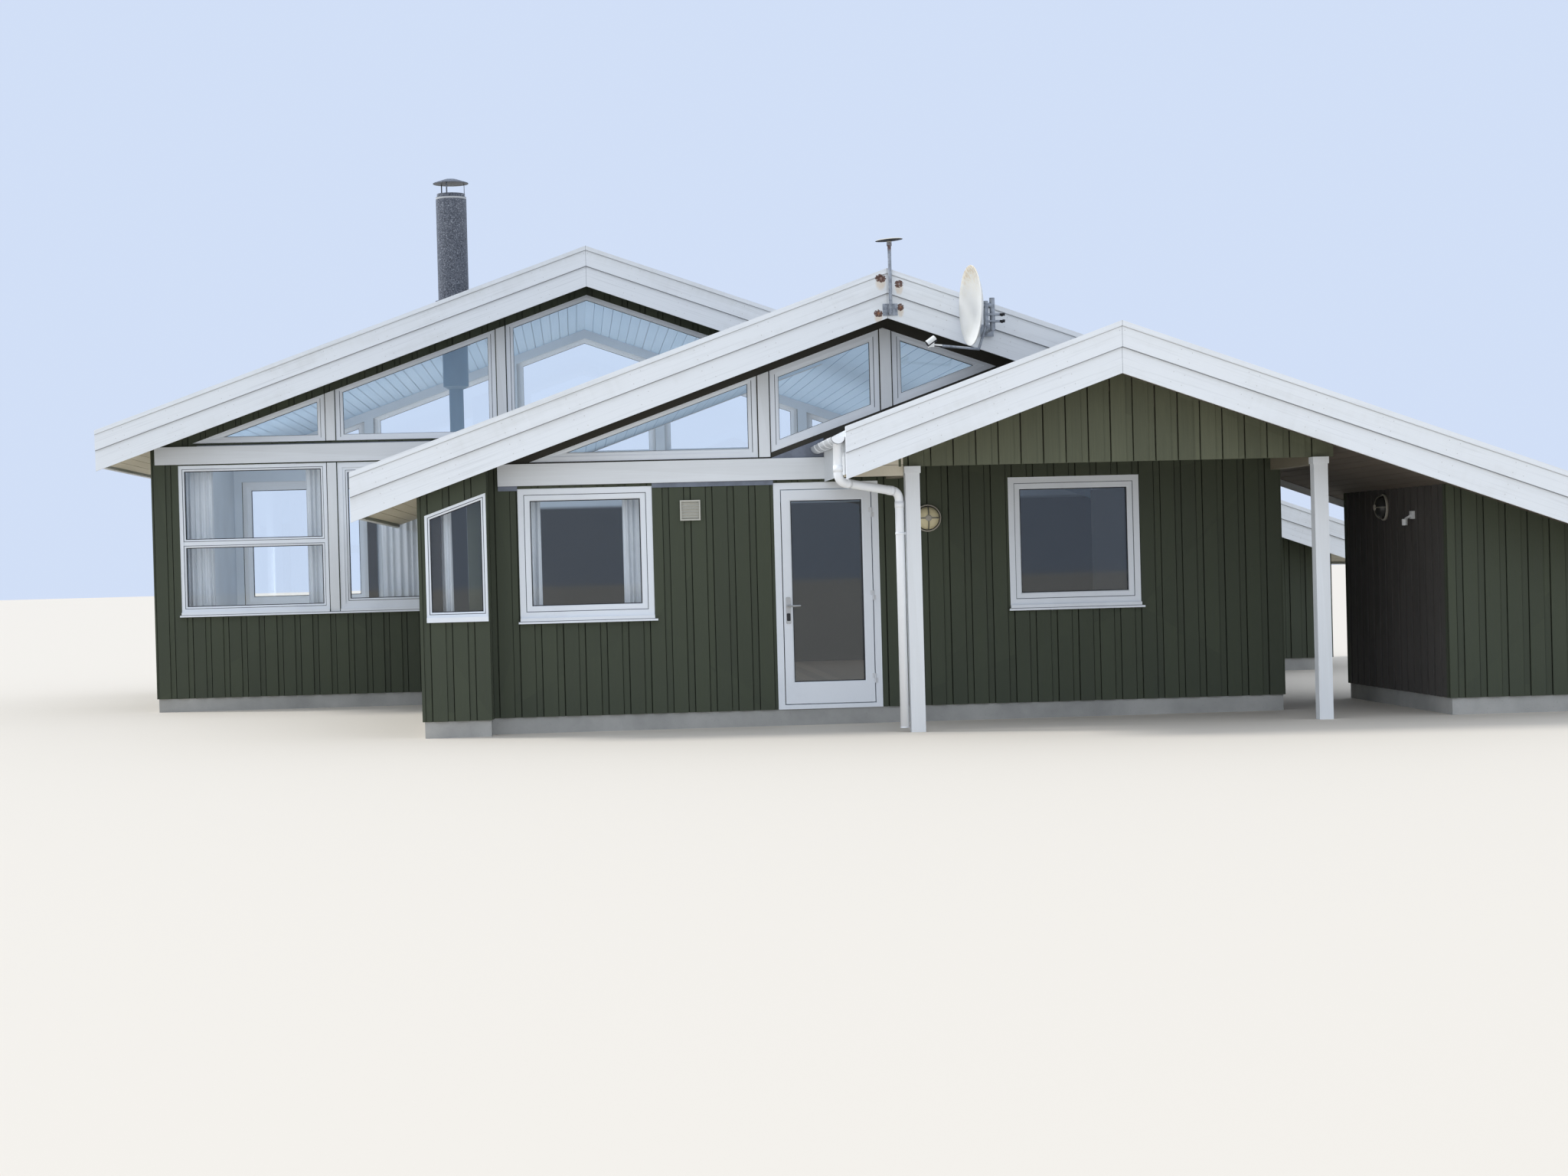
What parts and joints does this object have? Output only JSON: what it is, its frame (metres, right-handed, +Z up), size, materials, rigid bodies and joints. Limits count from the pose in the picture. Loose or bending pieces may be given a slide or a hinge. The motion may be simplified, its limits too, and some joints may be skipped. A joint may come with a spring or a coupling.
{
  "type": "timber beach house",
  "caption": "Single-storey timber beach house of stepped low gables with a covered porch, glazed gables, a chimney and an opening front door.",
  "frame": {"origin": "underside of the floor slab at ground level, below the main ridge and on the front wall line of the rear section", "axes": "+Z up, the gable fronts face -Y, +X to the right seen from the front"},
  "size_m": [15.08, 14.53, 6.1515],
  "materials": {
    "green_boards": "dark green stained vertical boards",
    "white_trim": "white painted boards, weathered",
    "white_frame": "white painted window and door frames",
    "glass": "clear window glass",
    "roof_felt": "mineral roofing felt over a boarded ceiling",
    "concrete": "cast slab with a smooth plinth edge",
    "cream_wood": "cream painted beams, weathered",
    "flue_metal": "dark textured flue coating",
    "galvanized": "galvanized steel",
    "dish_paint": "off-white dish paint with rust",
    "gutter_plastic": "white gutters and pipes",
    "lamp_glass": "frosted lamp glass",
    "flashing": "dark lead flashing"
  },
  "bodies": {
    "house": {"antenna_mast": "galvanized", "back_bargeboards": "white_trim", "back_wall": "green_boards", "back_window_frames": "white_frame", "back_window_glass": "glass", "bay_wall": "green_boards", "chimney": "flue_metal", "chimney_cap": "flue_metal", "chimney_collar": "flue_metal", "dish_bracket": "galvanized", "door_frame": "white_frame", "door_hinges": "galvanized", "eave_fascias": "white_trim", "floor": "concrete", "front_window_frames": "white_frame", "front_window_glass": "glass", "gable_window_frames": "white_frame", "middle_bargeboards": "white_trim", "middle_front_wall": "green_boards", "middle_gable_wall": "white_frame", "middle_roof_left": "roof_felt", "mullion_boards": "white_trim", "porch_bargeboards": "white_trim", "porch_beams": "cream_wood", "porch_gable": "green_boards", "porch_gutter": "gutter_plastic", "porch_posts": "white_trim", "porch_roof_left": "roof_felt", "porch_wall": "green_boards", "rear_bargeboards": "white_trim", "rear_front_wall": "green_boards", "rear_roof_left": "roof_felt", "rear_window_frames": "white_frame", "right_roof_slope": "roof_felt", "satellite_dish": "dish_paint", "shed_end_walls": "green_boards", "shed_side_walls": "green_boards", "side_walls": "green_boards", "side_window_frames": "white_frame", "stove_flue": "flue_metal", "transom_boards": "white_trim", "wall_fittings": "gutter_plastic", "wall_flashings": "flashing", "wall_lamps": "lamp_glass", "wall_over_door": "green_boards", "wing_front_wall": "green_boards"},
    "front_door": {"front_door": "white_frame", "door_glass": "glass", "handle_plate": "white_frame", "door_hinge_leaves": "galvanized"},
    "door_lever": {"door_handle": "galvanized"}
  },
  "joints": [
    {"name": "door_swing", "type": "hinge", "parent": "house", "child": "front_door", "pos_m": [2.5435, -5.95197, 1.2], "axis": [0, 0, 1], "range_deg": [0, 100]},
    {"name": "lever_turn", "type": "hinge", "parent": "front_door", "child": "door_lever", "pos_m": [1.749, -5.954, 1.108], "axis": [0, 1, 0], "range_deg": [0, 90]}
  ]
}
